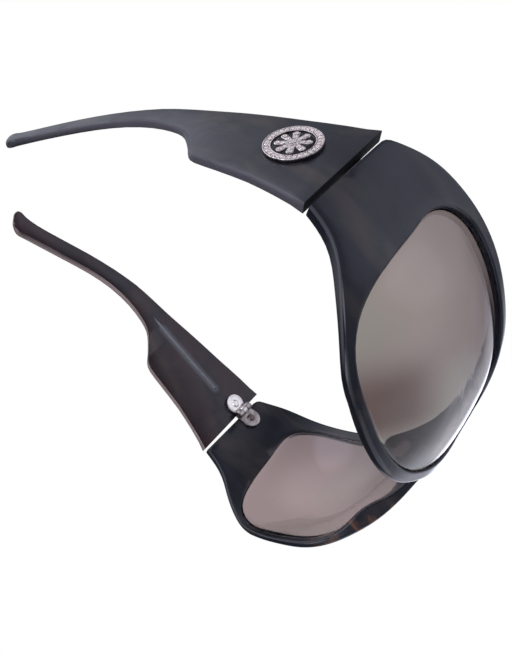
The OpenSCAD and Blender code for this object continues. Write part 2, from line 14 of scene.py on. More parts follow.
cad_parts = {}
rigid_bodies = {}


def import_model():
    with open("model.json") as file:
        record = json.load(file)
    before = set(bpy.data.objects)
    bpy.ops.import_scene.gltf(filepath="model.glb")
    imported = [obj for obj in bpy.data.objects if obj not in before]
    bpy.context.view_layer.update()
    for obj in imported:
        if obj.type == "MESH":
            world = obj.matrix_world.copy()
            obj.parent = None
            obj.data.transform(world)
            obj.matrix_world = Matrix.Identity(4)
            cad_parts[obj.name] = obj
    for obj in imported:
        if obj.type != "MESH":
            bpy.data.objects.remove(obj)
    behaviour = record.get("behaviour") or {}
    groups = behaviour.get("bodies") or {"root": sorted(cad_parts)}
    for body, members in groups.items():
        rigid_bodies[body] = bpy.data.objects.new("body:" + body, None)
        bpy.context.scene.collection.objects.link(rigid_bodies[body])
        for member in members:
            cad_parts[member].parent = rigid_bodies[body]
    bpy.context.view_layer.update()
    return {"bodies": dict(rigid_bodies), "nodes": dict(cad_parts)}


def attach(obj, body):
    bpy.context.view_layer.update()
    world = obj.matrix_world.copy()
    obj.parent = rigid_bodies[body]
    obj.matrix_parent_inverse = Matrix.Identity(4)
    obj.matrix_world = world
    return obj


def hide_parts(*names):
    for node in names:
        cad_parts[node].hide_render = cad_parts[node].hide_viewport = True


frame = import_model()
nodes = frame["nodes"]

# %% [markdown]
# ## The camera
# The photograph looks at the pair from below and from the wearer's right, close by, so the near
# lens looms large and the far temple is small. The place, the direction and the focal length were
# worked out from the outlines in the picture, for a frame of 513 by 655 pixels.

# %% Camera
PICTURE_HEIGHT_PX = 655
FOCAL_PX = 667.9
SENSOR_MM = 36.0
CAMERA_PLACE = Vector((-0.1631, -0.06764, -0.083896))
CAMERA_LOOK = Vector((0.794, 0.27101, 0.54447)).normalized()
CAMERA_DOWN = Vector((0.562, -0.66972, -0.48572))
CLIP_NEAR, CLIP_FAR = 0.005, 20.0


def make_camera():
    right = CAMERA_DOWN.cross(CAMERA_LOOK).normalized()
    up = right.cross(CAMERA_LOOK).normalized()
    data = bpy.data.cameras.new("camera")
    data.sensor_width = SENSOR_MM
    data.lens = FOCAL_PX / PICTURE_HEIGHT_PX * SENSOR_MM
    data.clip_start, data.clip_end = CLIP_NEAR, CLIP_FAR
    camera = bpy.data.objects.new("camera", data)
    bpy.context.scene.collection.objects.link(camera)
    turn = Matrix((right, up, -CAMERA_LOOK)).transposed().to_4x4()
    camera.matrix_world = Matrix.Translation(CAMERA_PLACE) @ turn
    bpy.context.scene.camera = camera
    print("camera:", [round(x, 3) for x in CAMERA_PLACE], "lens", round(data.lens, 2), "mm")


make_camera()
bpy.context.scene.view_settings.view_transform = "Standard"

# %% [markdown]
# ## Building node trees in code
# The surroundings and every finish are trees of nodes. Five helpers keep their code short: one
# links two sockets, one adds a node, one does a sum, one lets a mask rise smoothly between two
# values, and one blends two colours. What comes from another node is linked, and a plain number or
# colour is typed into the socket.


# %% Helpers for node trees
def link(tree, out_socket, in_socket):
    tree.links.new(out_socket, in_socket)


def node_of(tree, kind, **values):
    made = tree.nodes.new(kind)
    for name, value in values.items():
        setattr(made, name, value)
    return made


def maths(tree, operation, *values):
    made = node_of(tree, "ShaderNodeMath", operation=operation)
    for place, value in enumerate(values):
        if isinstance(value, (int, float)):
            made.inputs[place].default_value = value
        else:
            link(tree, value, made.inputs[place])
    return made.outputs[0]


def window(tree, value, low, high):
    made = node_of(tree, "ShaderNodeMapRange", interpolation_type="SMOOTHSTEP")
    link(tree, value, made.inputs["Value"])
    made.inputs["From Min"].default_value = low
    made.inputs["From Max"].default_value = high
    return made.outputs["Result"]


def blend_colour(tree, factor, first, second, blend_type="MIX"):
    made = node_of(tree, "ShaderNodeMix", data_type="RGBA", blend_type=blend_type)
    for value, name in ((factor, "Factor"), (first, "A"), (second, "B")):
        if isinstance(value, (tuple, float)):
            made.inputs[name].default_value = value
        else:
            link(tree, value, made.inputs[name])
    return made.outputs["Result"]


# %% [markdown]
# ## White surroundings
# The photograph is a cut-out on pure white. The camera, and everything that a lens lets through,
# see plain white. What polished plastic mirrors is another matter: a studio is mostly dim, with a
# bright backdrop and a few soft panels, and only that makes dark plastic look dark and its edges
# shine. A picture of a studio could be wrapped round the scene, but a table of soft glows in a dim
# room needs no file and can be tuned glow by glow. Each row gives a glow's direction, the cosines
# of the angles at which it starts and is full, and its strength.

# %% World
WORLD_LIGHT = (0.62, 0.63, 0.68, 1.0)
WHITE = (1.0, 1.0, 1.0, 1.0)
ROOM_TINT = (0.88, 0.90, 1.04, 1.0)
ROOM_DIM = 0.08
GLOWS = (
    ("panel_behind", (-0.17, 0.97, -0.14), 0.55, 0.95, 0.95),
    ("backdrop", (0.37, -0.87, 0.31), 0.80, 0.985, 0.70),
    ("panel_beside", (-0.66, -0.12, 0.74), 0.80, 0.985, 0.66),
    ("wall_beside", (-0.70, -0.40, 0.60), 0.945, 0.99, 0.30),
    ("backdrop_far", (0.76, -0.42, 0.50), 0.72, 0.985, 0.86),
    ("panel_arm", (-0.37, 0.93, 0.04), 0.93, 0.985, 0.95),
    ("panel_low_behind", (0.10, 0.63, -0.77), 0.90, 0.98, 1.3),
    ("below", (-0.05, -0.05, -1.0), 0.95, 0.99, 2.4),
    ("lens_edge", (0.78, -0.15, 0.61), 0.950, 0.99, 1.4),
    ("panel_front", (-0.19, -0.77, 0.61), 0.80, 0.985, 0.45),
    ("low_beside", (-0.92, -0.29, -0.26), 0.20, 0.95, 0.30),
    ("low_front", (-0.10, -0.32, -0.94), 0.80, 0.97, 0.90),
    ("strip_low", (-0.45, 0.54, -0.70), 0.95, 0.995, 1.3),
    ("strip_rim", (-0.70, 0.15, -0.70), 0.96, 0.995, 3.0),
    ("front_low", (0.40, -0.85, -0.33), 0.88, 0.97, 1.0),
    ("wall_behind", (-0.01, 0.92, 0.38), 0.20, 0.95, 0.22),
    ("overhead", (0.03, -0.08, 1.0), 0.80, 0.985, 0.20),
)


def make_world():
    world = bpy.data.worlds.new("white_studio")
    world.use_nodes = True
    tree = world.node_tree
    tree.nodes.clear()
    direction = node_of(tree, "ShaderNodeTexCoord").outputs["Generated"]
    level = ROOM_DIM
    for name, towards, edge, middle, strength in GLOWS:
        facing = node_of(tree, "ShaderNodeVectorMath", operation="DOT_PRODUCT", label=name)
        facing.inputs[1].default_value = Vector(towards).normalized()
        link(tree, direction, facing.inputs[0])
        glow = window(tree, facing.outputs["Value"], edge, middle)
        level = maths(tree, "MULTIPLY_ADD", glow, strength, level)
    room = node_of(tree, "ShaderNodeVectorMath", operation="SCALE")
    room.inputs[0].default_value = ROOM_TINT[:3]
    link(tree, level, room.inputs["Scale"])
    path = node_of(tree, "ShaderNodeLightPath")
    lit = blend_colour(tree, path.outputs["Is Glossy Ray"], WORLD_LIGHT, room.outputs[0])
    seen = maths(
        tree, "MAXIMUM", path.outputs["Is Camera Ray"], path.outputs["Is Transmission Ray"])
    background = node_of(tree, "ShaderNodeBackground")
    link(tree, blend_colour(tree, seen, lit, WHITE), background.inputs["Color"])
    out = node_of(tree, "ShaderNodeOutputWorld")
    link(tree, background.outputs[0], out.inputs["Surface"])
    bpy.context.scene.world = world


make_world()
print("world:", len(GLOWS), "glows in a dim room")

# %% [markdown]
# ## A one-way floor
# The pair stands on its rims and temple tips, but the photograph looks at it from underneath. The
# floor is pale from above and clear from below, and lamps shine through it, so both sides work.
# Without a floor the pair would float in every view from above. Reflections don't see it either, as
# the glows already stand for what lies under the pair.

# %% Floor
FLOOR_SIZE = 1.6
FLOOR_BELOW = 0.0004
FLOOR_COLOUR = (0.86, 0.86, 0.87, 1.0)
FLOOR_ROUGHNESS = 0.7


def make_floor():
    bpy.ops.mesh.primitive_plane_add(size=FLOOR_SIZE, location=(0, 0, -FLOOR_BELOW))
    floor = bpy.context.active_object
    floor.name = "floor"
    material = bpy.data.materials.new("floor_paper")
    material.use_nodes = True
    tree = material.node_tree
    paper = tree.nodes["Principled BSDF"]
    paper.inputs["Base Color"].default_value = FLOOR_COLOUR
    paper.inputs["Roughness"].default_value = FLOOR_ROUGHNESS
    clear = node_of(tree, "ShaderNodeBsdfTransparent")
    path = node_of(tree, "ShaderNodeLightPath")
    side = node_of(tree, "ShaderNodeNewGeometry")
    mix = node_of(tree, "ShaderNodeMixShader")
    unseen = maths(tree, "MAXIMUM", path.outputs["Is Shadow Ray"], path.outputs["Is Glossy Ray"])
    link(tree, maths(tree, "MAXIMUM", side.outputs["Backfacing"], unseen), mix.inputs[0])
    link(tree, paper.outputs[0], mix.inputs[1])
    link(tree, clear.outputs[0], mix.inputs[2])
    link(tree, mix.outputs[0], tree.nodes["Material Output"].inputs["Surface"])
    floor.data.materials.append(material)


make_floor()
print("floor:", FLOOR_SIZE, "m wide,", 1000 * FLOOR_BELOW, "mm below the pair")

# %% [markdown]
# ## Lamps
# Three large soft boxes shape the pair: one above, one beside the camera under the floor, and one
# behind. Mirrored in a lens their square outlines would show, so reflections don't see them. Each
# row gives a lamp's place, its size, its power in watts and its colour.

# %% Lamps
LAMPS = (
    ("lamp_top", (-0.25, -0.10, 0.75), 0.55, 2.4, (1.0, 0.99, 0.97)),
    ("lamp_near", (-0.62, -0.42, -0.38), 0.45, 1.6, (0.97, 0.98, 1.0)),
    ("lamp_back", (0.35, 0.70, 0.25), 0.40, 1.2, (1.0, 0.98, 0.98)),
)


def make_lamp(name, place, size, power, colour):
    data = bpy.data.lights.new(name, "AREA")
    data.shape = "SQUARE"
    data.size = size
    data.energy = power
    data.color = colour
    lamp = bpy.data.objects.new(name, data)
    bpy.context.scene.collection.objects.link(lamp)
    lamp.location = place
    lamp.rotation_mode = "QUATERNION"
    lamp.rotation_quaternion = (-Vector(place)).to_track_quat("-Z", "Y")
    lamp.visible_camera = False
    lamp.visible_glossy = False
    lamp.visible_transmission = False


for lamp_row in LAMPS:
    make_lamp(*lamp_row)
print("lamps:", len(LAMPS))

# %% [markdown]
# ## Shared effects
# Two effects are used by more than one finish, the mottle of the sheet and the life of a polished
# surface, so each is a node group that is built once. Both start from noise on the piece's own
# coordinates, so they stay with a piece that moves. A cloud is named by six numbers: the scale,
# detail, roughness and distortion of its noise, and the two values between which its mask rises.


# %% Node group helpers
def new_group(name, numbers, colours, outputs):
    group = bpy.data.node_groups.new(name, "ShaderNodeTree")
    for label, value in numbers:
        socket = group.interface.new_socket(label, in_out="INPUT", socket_type="NodeSocketFloat")
        socket.default_value = value
    for label, value in colours:
        socket = group.interface.new_socket(label, in_out="INPUT", socket_type="NodeSocketColor")
        socket.default_value = value
    for label, kind in outputs:
        group.interface.new_socket(label, in_out="OUTPUT", socket_type=kind)
    return group, node_of(group, "NodeGroupInput"), node_of(group, "NodeGroupOutput")


def noise_of(tree, coordinate, scale, detail=4.0, roughness=0.55, distortion=0.0):
    made = node_of(tree, "ShaderNodeTexNoise")
    made.inputs["Scale"].default_value = scale
    made.inputs["Detail"].default_value = detail
    made.inputs["Roughness"].default_value = roughness
    made.inputs["Distortion"].default_value = distortion
    link(tree, coordinate, made.inputs["Vector"])
    return made.outputs["Fac"]


def cloud_mask(tree, coordinate, scale, detail, roughness, distortion, low, high):
    noise = noise_of(tree, coordinate, scale, detail, roughness, distortion)
    return window(tree, noise, low, high)


def stretched(tree, stretch=(1.0, 1.0, 1.0), turn=(0.0, 0.0, 0.0)):
    coordinate = node_of(tree, "ShaderNodeTexCoord")
    mapping = node_of(tree, "ShaderNodeMapping")
    mapping.inputs["Scale"].default_value = stretch
    mapping.inputs["Rotation"].default_value = turn
    link(tree, coordinate.outputs["Object"], mapping.inputs["Vector"])
    return mapping.outputs[0]


# %% [markdown]
# ## The mottle of dark cellulose sheet
# Such sheet is pressed from blocks of dyed plastic, which run into each other as clouds: here
# blue-black and slate with a warm brown, and rare amber flecks. One noise with a colour ramp would
# put its colours in rings, so each colour has a cloud of its own, laid over the one before.

# %% Mottle
MOTTLE_STRETCH, MOTTLE_TURN = (1.0, 0.45, 1.3), (0.5, 0.2, 0.35)
SLATE_CLOUD = (90.0, 4.0, 0.6, 0.8, 0.35, 0.70)
BROWN_CLOUD = (42.0, 3.0, 0.6, 0.6, 0.50, 0.76)
AMBER_CLOUD = (120.0, 3.0, 0.5, 1.0, 0.56, 0.72)


def make_mottle():
    group, given, out = new_group(
        "sheet_mottle", (("Brown", 1.0), ("Flecks", 0.0)),
        (("Dark", (0.0035, 0.0042, 0.0085, 1)), ("Slate", (0.0075, 0.0085, 0.0150, 1)),
         ("Warm", (0.042, 0.033, 0.031, 1)), ("Amber", (0.120, 0.054, 0.032, 1))),
        (("Color", "NodeSocketColor"),))
    along = stretched(group, MOTTLE_STRETCH, MOTTLE_TURN)
    slate = cloud_mask(group, along, *SLATE_CLOUD)
    brown = cloud_mask(group, along, *BROWN_CLOUD)
    brown = maths(group, "MULTIPLY", brown, given.outputs["Brown"])
    fleck = cloud_mask(group, along, *AMBER_CLOUD)
    fleck = maths(group, "MULTIPLY", fleck, given.outputs["Flecks"])
    base = blend_colour(group, slate, given.outputs["Dark"], given.outputs["Slate"])
    base = blend_colour(group, brown, base, given.outputs["Warm"])
    link(group, blend_colour(group, fleck, base, given.outputs["Amber"]), out.inputs["Color"])
    return group


mottle_group = make_mottle()
print("group:", mottle_group.name)


# %% [markdown]
# ## The life of a polished surface
# A polished face is never even. Fingers leave faint smears, which only change its roughness, and
# wiping leaves hair scratches. Tumbling leaves a fine waviness. The last two could be modelled, but
# at a tenth of a millimetre a bump is enough.

# %% Polish
SMEAR_CLOUD = (70.0, 5.0, 0.6, 1.5, 0.35, 0.75)
HAIR_STRETCH, HAIR_TURN = (60.0, 900.0, 700.0), (0.4, 0.9, 0.3)
HAIR_CLOUD = (1.0, 2.0, 0.5, 0.0, 0.66, 0.80)
WAVE_SCALE, WAVE_DETAIL = 160.0, 2.0
BUMP_STRENGTH, BUMP_HEIGHT = 0.25, 0.0001


def make_handling():
    group, given, out = new_group(
        "handled_polish",
        (("Roughness", 0.2), ("Smears", 0.08), ("Scratches", 0.3), ("Waviness", 0.2)), (),
        (("Roughness", "NodeSocketFloat"), ("Normal", "NodeSocketVector")))
    plain = stretched(group)
    smear = cloud_mask(group, plain, *SMEAR_CLOUD)
    smeared = maths(
        group, "MULTIPLY_ADD", smear, given.outputs["Smears"], given.outputs["Roughness"])
    scratch = cloud_mask(group, stretched(group, HAIR_STRETCH, HAIR_TURN), *HAIR_CLOUD)
    scratch = maths(group, "MULTIPLY", scratch, given.outputs["Scratches"])
    wave = noise_of(group, plain, WAVE_SCALE, WAVE_DETAIL)
    wave = maths(group, "MULTIPLY", wave, given.outputs["Waviness"])
    height = maths(group, "SUBTRACT", wave, scratch)
    bump = node_of(group, "ShaderNodeBump")
    bump.inputs["Strength"].default_value = BUMP_STRENGTH
    bump.inputs["Distance"].default_value = BUMP_HEIGHT
    link(group, height, bump.inputs["Height"])
    link(group, smeared, out.inputs["Roughness"])
    link(group, bump.outputs[0], out.inputs["Normal"])
    return group


handling_group = make_handling()
print("group:", handling_group.name)


# %% [markdown]
# ## The start of every finish
# Each material has a Principled shader of its own, and the polish group feeds its roughness and its
# normal. The words after the name are the group's inputs, so one call says how handled a finish is.


# %% Finish helpers
def use_group(tree, group, **values):
    made = node_of(tree, "ShaderNodeGroup")
    made.node_tree = group
    for name, value in values.items():
        made.inputs[name].default_value = value
    return made


def new_finish(name, metallic=0.0, **handling):
    material = bpy.data.materials.new(name)
    material.use_nodes = True
    tree = material.node_tree
    shader = tree.nodes["Principled BSDF"]
    shader.inputs["Metallic"].default_value = metallic
    polish = use_group(tree, handling_group, **handling)
    link(tree, polish.outputs["Roughness"], shader.inputs["Roughness"])
    link(tree, polish.outputs["Normal"], shader.inputs["Normal"])
    return material, tree, shader


# %% [markdown]
# ## The front's plastic
# The sheet is almost black, with a blue cast, slate clouds and soft brown streaks. Near the bridge
# of this pair the sheet turned towards tortoise shell, so amber flecks are let in there. They could
# be painted by hand, but a mask that falls away with the distance from the middle is one line.

# %% Front plastic
SHEET_IOR = 1.49
FLECK_NEAR, FLECK_FAR = 0.014, 0.036


def object_parts(tree, output="Object"):
    coordinate = node_of(tree, "ShaderNodeTexCoord")
    parts = node_of(tree, "ShaderNodeSeparateXYZ")
    link(tree, coordinate.outputs[output], parts.inputs[0])
    return parts.outputs


def near_middle(tree):
    away = maths(tree, "ABSOLUTE", object_parts(tree)["X"])
    return window(tree, away, FLECK_FAR, FLECK_NEAR)


def make_front_plastic():
    material, tree, shader = new_finish(
        "front_sheet", Roughness=0.13, Smears=0.10, Scratches=0.25, Waviness=0.35)
    mottle = use_group(tree, mottle_group, Brown=0.65)
    link(tree, near_middle(tree), mottle.inputs["Flecks"])
    link(tree, mottle.outputs["Color"], shader.inputs["Base Color"])
    shader.inputs["IOR"].default_value = SHEET_IOR
    return material


front_plastic = make_front_plastic()
print("finish:", front_plastic.name)

# %% [markdown]
# ## The temples' plastic
# The temples are sawn from the same sheet and show what it is made of. Each mark gets a mask, by
# the place or by the normal. The saw cut at the hinge faces forwards and stays matt, and it is
# painted nearly black as painted shade, for the shadow in the narrow gap at the hinge. A warmer
# layer shows in patches on the inside. The lower edges are painted paler, partly the sheet's lighter
# layer and partly a painted reflection of bright ground below, the left one much more so. Where the
# wire core lies close under the inner face it shines through as a soft grey streak, which fades with
# the distance from the wire's line.

# %% Masks of the temples
SAW_CUT_STARTS, SAW_CUT_FULL = 0.70, 0.90
INNER_STARTS, INNER_FULL = -0.5, -0.8
LOWER_STARTS, LOWER_FULL = -0.50, -0.85
SIDE_BLEND = 0.01
# Lower edges: the sheet's lighter layer plus a painted reflection of bright ground below, much
# brighter on the left temple.
UNDERSIDE_SHEEN_RIGHT = (0.074, 0.071, 0.090, 1.0)
UNDERSIDE_SHEEN_LEFT = (0.260, 0.200, 0.200, 1.0)


def saw_cut(tree, facing):
    forwards = maths(tree, "MULTIPLY", facing["Y"], -1.0)
    return window(tree, forwards, SAW_CUT_STARTS, SAW_CUT_FULL)


def inner_face(tree, place, facing):
    outward = maths(tree, "MULTIPLY", maths(tree, "SIGN", place["X"]), facing["X"])
    return window(tree, outward, INNER_STARTS, INNER_FULL)


# Mask of the lower edges, which get the paler colour and its painted reflection.
def underside_sheen_mask(tree, facing):
    return window(tree, facing["Z"], LOWER_STARTS, LOWER_FULL)


def underside_sheen_colour(tree, place):
    left = window(tree, place["X"], -SIDE_BLEND, SIDE_BLEND)
    return blend_colour(tree, left, UNDERSIDE_SHEEN_RIGHT, UNDERSIDE_SHEEN_LEFT)


# %% The wire's streak
WIRE_START = Vector((0.05941, -0.00211, 0.03425))
WIRE_END = Vector((0.04769, 0.02570, 0.02987))
WIRE_GLOW_NEAR, WIRE_GLOW_FAR = 0.0005, 0.0025


def near_wire(tree, place):
    spot = node_of(tree, "ShaderNodeCombineXYZ")
    link(tree, maths(tree, "ABSOLUTE", place["X"]), spot.inputs["X"])
    link(tree, place["Y"], spot.inputs["Y"])
    link(tree, place["Z"], spot.inputs["Z"])
    line = WIRE_END - WIRE_START
    from_start = node_of(tree, "ShaderNodeVectorMath", operation="SUBTRACT")
    link(tree, spot.outputs[0], from_start.inputs[0])
    from_start.inputs[1].default_value = WIRE_START
    along = node_of(tree, "ShaderNodeVectorMath", operation="DOT_PRODUCT")
    link(tree, from_start.outputs[0], along.inputs[0])
    along.inputs[1].default_value = line / line.length_squared
    reach = maths(tree, "MINIMUM", maths(tree, "MAXIMUM", along.outputs["Value"], 0.0), 1.0)
    foot = node_of(tree, "ShaderNodeVectorMath", operation="SCALE")
    foot.inputs[0].default_value = line
    link(tree, reach, foot.inputs["Scale"])
    away = node_of(tree, "ShaderNodeVectorMath", operation="DISTANCE")
    link(tree, from_start.outputs[0], away.inputs[0])
    link(tree, foot.outputs[0], away.inputs[1])
    return window(tree, away.outputs["Value"], WIRE_GLOW_FAR, WIRE_GLOW_NEAR)


# %% Temple plastic
# Painted shade on the saw cut at the hinge, for the shadow in the narrow gap there.
SAW_CUT_PAINTED_SHADE = (0.0015, 0.0015, 0.0025, 1.0)
SAW_CUT_DULLER = 0.6
INNER_WARM = (0.024, 0.011, 0.014, 1.0)
INNER_STRETCH = (1.0, 0.6, 1.2)
INNER_CLOUD = (75.0, 3.0, 0.55, 0.0, 0.38, 0.62)
INNER_LEAST, INNER_PATCHES = 0.15, 0.65
WIRE_GLOW = (0.078, 0.082, 0.100, 1.0)
WIRE_GLOW_SHARE = 0.8


def make_temple_plastic():
    material, tree, shader = new_finish(
        "temple_sheet", Roughness=0.27, Smears=0.14, Scratches=0.25, Waviness=0.35)
    polish = shader.inputs["Roughness"].links[0].from_socket
    place, facing = object_parts(tree), object_parts(tree, "Normal")
    mottle = use_group(tree, mottle_group, Brown=0.9)
    patchy = cloud_mask(tree, stretched(tree, INNER_STRETCH), *INNER_CLOUD)
    patchy = maths(tree, "MULTIPLY_ADD", patchy, INNER_PATCHES, INNER_LEAST)
    warm = maths(tree, "MULTIPLY", inner_face(tree, place, facing), patchy)
    glow = maths(tree, "MULTIPLY", near_wire(tree, place), WIRE_GLOW_SHARE)
    cut = saw_cut(tree, facing)
    sheet = blend_colour(tree, warm, mottle.outputs["Color"], INNER_WARM)
    # Painted reflection on the lower edges.
    sheet = blend_colour(tree, underside_sheen_mask(tree, facing), sheet, underside_sheen_colour(tree, place))
    sheet = blend_colour(tree, glow, sheet, WIRE_GLOW)
    # The saw cut gets its painted shade last, over every other colour.
    sheet = blend_colour(tree, cut, sheet, SAW_CUT_PAINTED_SHADE)
    link(tree, sheet, shader.inputs["Base Color"])
    duller = maths(tree, "MULTIPLY_ADD", cut, SAW_CUT_DULLER, polish)
    link(tree, duller, shader.inputs["Roughness"])
    shader.inputs["IOR"].default_value = SHEET_IOR
    return material


temple_plastic = make_temple_plastic()
print("finish:", temple_plastic.name)

# %% [markdown]
# ## Tinted lens
# A lens is a thin shell of brown-grey plastic. White behind it comes through at about a quarter of
# its strength. The dye is deeper towards the brow, and it clouds between a greenish and a pinkish
# grey, more pink on the far side. Over the dye, light and shade are painted: the near lens is darker
# across its middle as painted shade and browner low by the nose, a soft cloud of painted shadow, and
# the far lens is painted paler in its middle as painted light. The brow's dye and each painted patch
# are a mask that multiplies the tint by a colour of its own.

# %% Masks of the lenses
NEAR_STARTS, NEAR_ENDS = (-0.058, -0.048), (-0.018, -0.030)
NOSE_STARTS, NOSE_ENDS = (-0.053, -0.045), (-0.034, -0.040)
NOSE_UP = (0.028, 0.012)
FAR_MIDDLE = Vector((0.049, -0.058, 0.033))
FAR_REACH = (0.021, 0.010)


def between(tree, value, starts, ends):
    return maths(tree, "MULTIPLY", window(tree, value, *starts), window(tree, value, *ends))


# Painted shadow: a soft brown cloud low by the nose of the near lens, for the frame seen through it.
def nose_shadow_mask(tree, place):
    across = between(tree, place["X"], NOSE_STARTS, NOSE_ENDS)
    return maths(tree, "MULTIPLY", across, window(tree, place["Z"], *NOSE_UP))


# Painted light: the far lens is paler round its middle.
def far_light_mask(tree, plain):
    away = node_of(tree, "ShaderNodeVectorMath", operation="DISTANCE")
    link(tree, plain, away.inputs[0])
    away.inputs[1].default_value = FAR_MIDDLE
    return window(tree, away.outputs["Value"], *FAR_REACH)


# %% Lens finish
LENS_GREENISH = (0.272, 0.250, 0.228, 1.0)
LENS_PINKISH = (0.316, 0.243, 0.246, 1.0)
LENS_CLOUD = (26.0, 3.0, 0.5, 0.4, 0.38, 0.62)
PINK_TO_X = 0.035
LENS_LOW, LENS_HIGH = 0.018, 0.056
BROW_DYE = (0.62, 0.589, 0.62, 1.0)
# Painted shade across the near lens, painted light in the far lens's middle, painted shadow by the
# nose.
NEAR_LENS_PAINTED_SHADE = (0.86, 0.85, 0.88, 1.0)
FAR_LENS_PAINTED_LIGHT = (1.15, 1.14, 1.13, 1.0)
NOSE_PAINTED_SHADOW = (0.52, 0.43, 0.43, 1.0)
LENS_IOR = 1.5


def make_lens_finish():
    material, tree, shader = new_finish(
        "lens_tint", Roughness=0.02, Smears=0.03, Scratches=0.0, Waviness=0.0)
    plain, place = stretched(tree), object_parts(tree)
    cloud = cloud_mask(tree, plain, *LENS_CLOUD)
    side = window(tree, place["X"], -PINK_TO_X, PINK_TO_X)
    pink = maths(tree, "MULTIPLY_ADD", side, 0.5, maths(tree, "MULTIPLY", cloud, 0.5))
    tint = blend_colour(tree, pink, LENS_GREENISH, LENS_PINKISH)
    # The brow's dye first, then the painted shade, the painted light and the painted shadow.
    for mask, dye in (
            (window(tree, place["Z"], LENS_LOW, LENS_HIGH), BROW_DYE),
            (between(tree, place["X"], NEAR_STARTS, NEAR_ENDS), NEAR_LENS_PAINTED_SHADE),
            (far_light_mask(tree, plain), FAR_LENS_PAINTED_LIGHT),
            (nose_shadow_mask(tree, place), NOSE_PAINTED_SHADOW)):
        tint = blend_colour(tree, mask, tint, dye, "MULTIPLY")
    link(tree, tint, shader.inputs["Base Color"])
    shader.inputs["Transmission Weight"].default_value = 1.0
    shader.inputs["IOR"].default_value = LENS_IOR
    return material


lens_finish = make_lens_finish()
print("finish:", lens_finish.name)

# %% [markdown]
# ## Metals
# The temples' hinge leaves are bright nickel, and the front's leaves a duller, more handled one,
# painted darker too as painted shade, for they sit in the shade of the front.
# Screws and front rivets are darker steel, and the badge is a pinkish silver. The core wire lies in
# the sheet, which takes its shine, so it is a plain grey that mirrors little. One function makes
# them all, because they differ in colour and polish only. The wear of a metal is a cloud too, and
# each metal gives its scale as its grain. On the badge's silver the cloud is fine and very dark:
# wear, and painted shade for the dark gaps between its stones.

# %% Metals
METAL_CLOUD = (4.0, 0.55, 0.0, 0.35, 0.75)


def make_metal(name, colour, wear_and_shade, roughness, grain=600.0, metallic=1.0):
    material, tree, shader = new_finish(
        name, metallic=metallic, Roughness=roughness, Smears=0.10, Scratches=0.6, Waviness=0.3)
    patch = cloud_mask(tree, stretched(tree), grain, *METAL_CLOUD)
    link(tree, blend_colour(tree, patch, colour, wear_and_shade), shader.inputs["Base Color"])
    return material


nickel = make_metal("hinge_nickel", (0.88, 0.84, 0.80, 1), (0.70, 0.66, 0.62, 1), 0.22)
# The front's leaves: handled wear, and painted shade as a darker nickel.
worn_shaded_nickel = make_metal("worn_shaded_nickel", (0.56, 0.50, 0.48, 1), (0.34, 0.29, 0.28, 1), 0.26)
screw_steel = make_metal("screw_steel", (0.42, 0.40, 0.40, 1), (0.26, 0.24, 0.24, 1), 0.28)
dark_steel = make_metal("dark_steel", (0.20, 0.165, 0.155, 1), (0.12, 0.10, 0.095, 1), 0.30)
wire_steel = make_metal(
    "wire_steel", (0.150, 0.155, 0.185, 1), (0.11, 0.11, 0.13, 1), 0.45, metallic=0.0)
# The badge's dark cloud is wear and painted shade between the stones.
pink_silver = make_metal(
    "badge_silver", (1.0, 0.92, 0.90, 1), (0.36, 0.28, 0.27, 1), 0.14, grain=1500.0)
for metal in (nickel, worn_shaded_nickel, screw_steel, dark_steel, wire_steel, pink_silver):
    print("finish:", metal.name)


# %% [markdown]
# ## Enamel and stones
# The badge's field is black enamel, which shines less than the plastic round it. The stones are
# clear glass, which on a dark ground sparkles only where its facets catch a glow. Fully clear ones
# would turn as black as the enamel, so a part of their light comes from their own pale colour.

# %% Enamel and stones
ENAMEL_GRAIN, ENAMEL_DETAIL = 300.0, 3.0
STONE_GRAIN, STONE_DETAIL = 500.0, 1.0
ENAMEL_SHINE = 0.2
STONE_CLEAR, STONE_IOR = 0.8, 1.7


def make_enamel():
    material, tree, shader = new_finish(
        "black_enamel", Roughness=0.10, Smears=0.06, Scratches=0.2, Waviness=0.5)
    cloud = noise_of(tree, stretched(tree), ENAMEL_GRAIN, ENAMEL_DETAIL)
    colour = blend_colour(tree, cloud, (0.003, 0.003, 0.004, 1), (0.007, 0.006, 0.008, 1))
    link(tree, colour, shader.inputs["Base Color"])
    shader.inputs["Specular IOR Level"].default_value = ENAMEL_SHINE
    return material


def make_stone():
    material, tree, shader = new_finish(
        "cut_stone", Roughness=0.02, Smears=0.02, Scratches=0.0, Waviness=0.0)
    cloud = noise_of(tree, stretched(tree), STONE_GRAIN, STONE_DETAIL)
    colour = blend_colour(tree, cloud, (1.0, 0.93, 0.92, 1), (0.72, 0.68, 0.71, 1))
    link(tree, colour, shader.inputs["Base Color"])
    shader.inputs["Transmission Weight"].default_value = STONE_CLEAR
    shader.inputs["IOR"].default_value = STONE_IOR
    return material


enamel = make_enamel()
stone_glass = make_stone()
print("finish:", enamel.name)
print("finish:", stone_glass.name)

# %% [markdown]
# ## Dressing a solid
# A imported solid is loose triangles. Its copy is merged, its triangles are joined to four-sided
# faces where they lie flat, and then it can be rounded with bevels and subdivision. Modelling it
# anew would lose the exact fit of the solids, and a copy keeps every size that they have.

# %% Helpers for copies
MERGE_WITHIN = 2e-6
FLAT_ENOUGH, SQUARE_ENOUGH = math.radians(30), math.radians(60)
SHARP_FROM = math.radians(40)


def clear_selection():
    if bpy.context.object and bpy.context.object.mode != "OBJECT":
        bpy.ops.object.mode_set(mode="OBJECT")
    bpy.ops.object.select_all(action="DESELECT")


def make_active(piece):
    clear_selection()
    piece.select_set(True)
    bpy.context.view_layer.objects.active = piece


